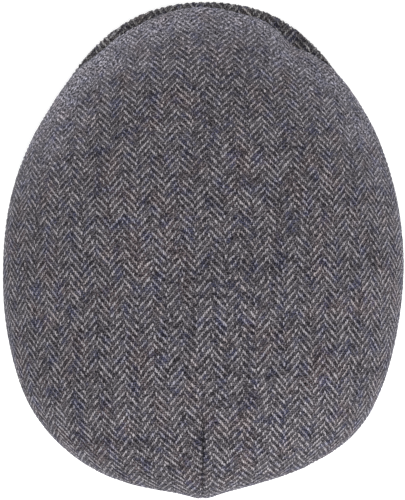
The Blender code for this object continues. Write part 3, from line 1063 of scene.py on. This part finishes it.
def makeYarnGroup():
    t, ins, leave = newGroup(
        "heather yarn",
        {
            "Vector": ["Threads", "Float Id", "Along Yarn"],
            "Color": ["Pale", "Deep", "Fleck One", "Fleck Two", "Patch One", "Patch Two"],
            "Float": ["Fleck Amount", "Patch Amount", "Unevenness", "Seed"],
        },
        {"Color": ["Color"]},
    )
    times, plus, _, timesPlus = sums(t)
    one = whiteNoise(t, moved(t, ins["Float Id"], joined(t, 0.0, 0.0, ins["Seed"])))
    whole = whiteNoise(t, joined(t, apart(t, ins["Float Id"], "XYZ")[0], ins["Seed"], 3.0))
    level = timesPlus(whole[0], yarnTone["whole"], times(one[0], yarnTone["float"]))
    for source, name in (("Along Yarn", "slub"), ("Along Yarn", "fibre"), ("Threads", "patch")):
        share, *noise = yarnTone[name]
        level = timesPlus(softNoise(t, ins[source], *noise)[0], share, level)
    level = timesPlus(plus(level, yarnTone["base"]), ins["Unevenness"], 0.5)
    level = maths(t, "MINIMUM", maths(t, "MAXIMUM", level, 0.0), yarnTone["palest"])
    color = mixed(t, level, ins["Deep"], ins["Pale"])
    hues = apart(t, one[1], "Color")
    places = ins["Threads"], moved(t, ins["Threads"], joined(t, 53.0, 31.0, ins["Seed"]))
    clouds = [softNoise(t, place, *noise)[0] for place, noise in zip(places, yarnTone["clouds"])]
    for k, fleck in enumerate(("Fleck One", "Fleck Two")):
        share = timesPlus(hues[k + 1], yarnTone["fleckSpread"], clouds[k])
        share = times(remapped(t, share, *yarnTone["fleckEdges"][k]), ins["Fleck Amount"])
        color = mixed(t, share, color, ins[fleck])
    for cloud, patch in zip(clouds, ("Patch One", "Patch Two")):
        share = times(remapped(t, cloud, *yarnTone["patchEdge"]), ins["Patch Amount"])
        color = mixed(t, share, color, ins[patch], "MULTIPLY")
    fill(t, leave, {"Color": color})
    return t


nap = {"scale": 1400.0, "shade": 0.30, "broadScale": 24.0, "broadShade": 0.09}


def makeNapGroup():
    t, ins, leave = newGroup(
        "wool nap", {"Vector": ["Vector"], "Float": ["Scale"]}, {"Float": ["Height", "Shade"]})
    fine = softNoise(t, ins["Vector"], ins["Scale"], 3.0, 0.6)[0]
    broad = softNoise(t, ins["Vector"], nap["broadScale"])[0]
    broad = remapped(t, broad, *usualNoise, 1.0 - nap["broadShade"], 1.0 + nap["broadShade"])
    shade = maths(t, "MULTIPLY_ADD", fine, nap["shade"], 1.0 - nap["shade"] / 2)
    fill(t, leave, {"Height": fine, "Shade": maths(t, "MULTIPLY", shade, broad)})
    return t


herringboneGroup = makeHerringboneGroup()
yarnGroup = makeYarnGroup()
napGroup = makeNapGroup()

tweed = {
    "warp": {
        "Pale": (0.334, 0.316, 0.336, 1), "Deep": (0.041, 0.036, 0.043, 1),
        "Fleck One": (0.150, 0.155, 0.225, 1), "Fleck Two": (0.256, 0.248, 0.212, 1),
        "Patch One": (0.68, 0.71, 0.88, 1), "Patch Two": (1.08, 1.00, 0.96, 1), "Seed": 1.0,
    },
    "weft": {
        "Pale": (0.113, 0.104, 0.117, 1), "Deep": (0.016, 0.013, 0.018, 1),
        "Fleck One": (0.030, 0.032, 0.070, 1), "Fleck Two": (0.074, 0.064, 0.053, 1),
        "Patch One": (0.52, 0.58, 0.98, 1), "Patch Two": (1.18, 0.99, 0.94, 1), "Seed": 5.0,
    },
    "bothYarns": {"Fleck Amount": 0.02, "Patch Amount": 0.85, "Unevenness": 1.08},
    "waviness": 1.45,
    "jitter": 1.45,
    "shade": 0.66,
    "gap": (0.0, 0.64, 0.0, 1.30),   # painted shade between the yarns and painted highlight on their tops: from heights, to brightness
    # painted shade in the grooves of the seams and the dart
    "creaseShadeAmount": 0.85,
    "brushedJitter": 1.6,     # from here to fluff: where the cloth is rubbed and has painted sheen
    # painted sheen and highlight: how much brighter and bluer the colour gets there
    "wearAndSheen": (1.25, 1.26, 1.37, 1),
    "feltScale": 0.65,        # lumps of felted wool to a thread
    "lint": 0.8,
    "lintRange": (0.43, 0.59, 0.30, 1.62),
    "brushing": 0.26,
    "fluffRange": (0.47, 0.57),
    "fluffPale": (0.540, 0.520, 0.580, 1),
    "fluffDeep": (0.020, 0.019, 0.024, 1),
    "roughness": (0.88, 0.98),
    "specular": 0.15,
    "sheen": 0.11,
    "sheenRoughness": 0.30,
    "sheenTint": (0.74, 0.80, 1.0, 1),
    "threadBump": 0.00022,
    "napBump": 0.00006,
}


def makeTweed(name, changes={}):
    values = {**tweed, **changes}
    material, tree, shader = newMaterial(name)
    times, _, _, timesPlus = sums(tree)
    uv = addNode(tree, "UVMap", uv_map="threads")[0]
    place = addNode(tree, "TexCoord")["Object"]
    # the mask of wear with painted sheen, and the painted shade of the seams and the dart
    wearAndSheenMask, creaseShade = (
        addNode(tree, "Attribute", attribute_name=mark)["Fac"] for mark in ("wearAndSheenMask", "creaseShade"))
    threads = addNode(tree, "Group", {
        "Threads": uv, "Column Ends": weave["columnEnds"], "Waviness": values["waviness"],
        "Jitter": timesPlus(wearAndSheenMask, values["brushedJitter"], values["jitter"]),
    }, node_tree=herringboneGroup)
    warp, weft = (addNode(tree, "Group", {
        "Threads": uv, "Float Id": threads["Float Id"], "Along Yarn": threads["Along Yarn"],
        **values["bothYarns"], **values[yarn],
    }, node_tree=yarnGroup)["Color"] for yarn in ("warp", "weft"))
    wool = addNode(tree, "Group", {"Vector": place, "Scale": nap["scale"]}, node_tree=napGroup)
    felt = {"Vector": uv, "Scale": values["feltScale"]}
    felt = addNode(tree, "Group", felt, node_tree=napGroup)["Height"]
    color = mixed(tree, threads["Warp On Top"], weft, warp)
    # painted shade between the yarns and painted highlight on their tops
    gap = remapped(tree, threads["Height"], *values["gap"])
    color = dimmed(tree, 1.0, color, times(times(wool["Shade"], gap), values["shade"]))
    # painted sheen: brighter and bluer where the mask is
    color = mixed(tree, wearAndSheenMask, color, values["wearAndSheen"], "MULTIPLY")
    lint = remapped(tree, felt, *values["lintRange"])
    color = dimmed(tree, times(wearAndSheenMask, values["lint"]), color, lint)
    fluff = remapped(tree, felt, *values["fluffRange"])
    fluff = mixed(tree, fluff, values["fluffDeep"], values["fluffPale"])
    color = mixed(tree, times(wearAndSheenMask, values["brushing"]), color, fluff)
    # painted shade in the grooves of the seams and the dart
    color = mixed(tree, times(creaseShade, values["creaseShadeAmount"]), color, (0.0, 0.0, 0.0, 1.0))
    normal = addNode(tree, "Bump", {"Height": threads["Height"], "Distance": values["threadBump"]})[0]
    bump = {"Height": wool["Height"], "Distance": values["napBump"], "Normal": normal}
    fill(tree, shader, {
        "Base Color": color,
        "Roughness": remapped(tree, wool["Height"], *usualNoise, *values["roughness"]),
        "Normal": addNode(tree, "Bump", bump)[0],
        "Specular IOR Level": values["specular"],
        "Sheen Weight": values["sheen"],
        "Sheen Roughness": values["sheenRoughness"],
        "Sheen Tint": values["sheenTint"],
    })
    return material


crownTweed = makeTweed("crown tweed")
sideTweed = makeTweed("side tweed")
# the peak's tweed: duller colours of its own, and painted lighter overall by its shade to make up for
# the shade it lies in under the crown's edge
peakTweedLightened = makeTweed("peak tweed", {
    "shade": 1.04,
    "warp": {**tweed["warp"], "Pale": (0.230, 0.222, 0.225, 1), "Deep": (0.036, 0.035, 0.038, 1)},
    "weft": {**tweed["weft"], "Pale": (0.095, 0.090, 0.095, 1)},
})
for piece, material, node in (
    (crownCloth, crownTweed, "crown_top"),
    (sideLeft, sideTweed, "side_panel_left"),
    (sideRight, sideTweed, "side_panel_right"),
    (peakTop, peakTweedLightened, "peak"),
    (peakUnder, peakTweedLightened, "peak"),
):
    piece.data.materials.append(material)
    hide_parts(node)
    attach(piece, "root")
report("tweed made")

studio = {
    "floorSize": 6.0,
    "floorTone": (0.92, 0.94),
    "floorClouds": 3.0,
    "floorRoughness": 0.9,
    "floorSpecular": 0.1,
    "floorGlow": 0.22,        # it is a light table
    "white": (1.0, 1.0, 1.0, 1),
    "worldStrength": 1.0,
}

# name, place, aim, size, watts
softboxes = (
    ("back softbox", (-0.4, 1.35, 1.35), (0, 0, 0.05), (1.6, 1.2), 36.0),
    ("front softbox", (0.0, -1.6, 0.28), (0, 0, 0.05), (1.4, 0.4), 3.4),
    ("shoulder softbox", (0.95, -1.20, 0.25), (0.03, -0.08, 0.04), (0.7, 0.7), 4.0),
    ("left softbox", (1.50, -0.32, 0.80), (0, 0, 0.05), (0.6, 1.6), 10.2),
    ("right softbox", (-1.53, 0.26, 0.80), (0, 0, 0.05), (0.6, 1.6), 11.4),
)


def makeFloor():
    half = studio["floorSize"] / 2
    mesh = bpy.data.meshes.new("tabletop")
    corners = [(-half, -half, 0), (half, -half, 0), (half, half, 0), (-half, half, 0)]
    mesh.from_pydata(corners, [], [(0, 1, 2, 3)])
    material, tree, shader = newMaterial("pale table")
    cloud = softNoise(tree, addNode(tree, "TexCoord")["Object"], studio["floorClouds"])[0]
    level = remapped(tree, cloud, *usualNoise, *studio["floorTone"])
    fill(tree, shader, {
        "Base Color": joined(tree, level, level, level),
        "Roughness": studio["floorRoughness"],
        "Specular IOR Level": studio["floorSpecular"],
        "Emission Color": studio["white"],
        "Emission Strength": studio["floorGlow"],
    })
    mesh.materials.append(material)
    addObject("tabletop", mesh)


def makeLight(name, place, target, size, energy):
    data = bpy.data.lights.new(name, "AREA")
    data.shape = "RECTANGLE"
    data.size, data.size_y = size
    data.energy = energy
    lamp = addObject(name, data)
    lamp.location = place
    aim = Vector(target) - Vector(place)
    lamp.rotation_euler = aim.to_track_quat("-Z", "Y").to_euler()


def makeStudio():
    makeFloor()
    world = bpy.data.worlds.new("studio")
    world.use_nodes = True
    light = {"Color": studio["white"], "Strength": studio["worldStrength"]}
    fill(world.node_tree, world.node_tree.nodes["Background"], light)
    bpy.context.scene.world = world
    for softbox in softboxes:
        makeLight(*softbox)
    bpy.context.scene.view_settings.view_transform = "Standard"


# The camera looks straight down, with the peak to the top of the picture
view = {
    "height": 3.0,
    "aimX": 0.00014,
    "aimY": 0.00100,
    "planeHeight": 0.045,     # where a pixel is pixelSize
    "pixelSize": 0.0005433,
    "pixelRows": 500,
    "sensor": 36.0,           # mm
    "farEnd": 20.0,
}


def makeCamera():
    data = bpy.data.cameras.new("camera")
    data.sensor_width = view["sensor"]
    shownHeight = view["pixelRows"] * view["pixelSize"]
    data.lens = view["sensor"] * (view["height"] - view["planeHeight"]) / shownHeight
    data.clip_end = view["farEnd"]
    camera = addObject("camera", data)
    camera.location = (view["aimX"], view["aimY"], view["height"])
    camera.rotation_euler = (0.0, 0.0, np.pi)
    bpy.context.scene.camera = camera


makeStudio()
makeCamera()
report("studio ready")

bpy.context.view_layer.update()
report("sizes written")
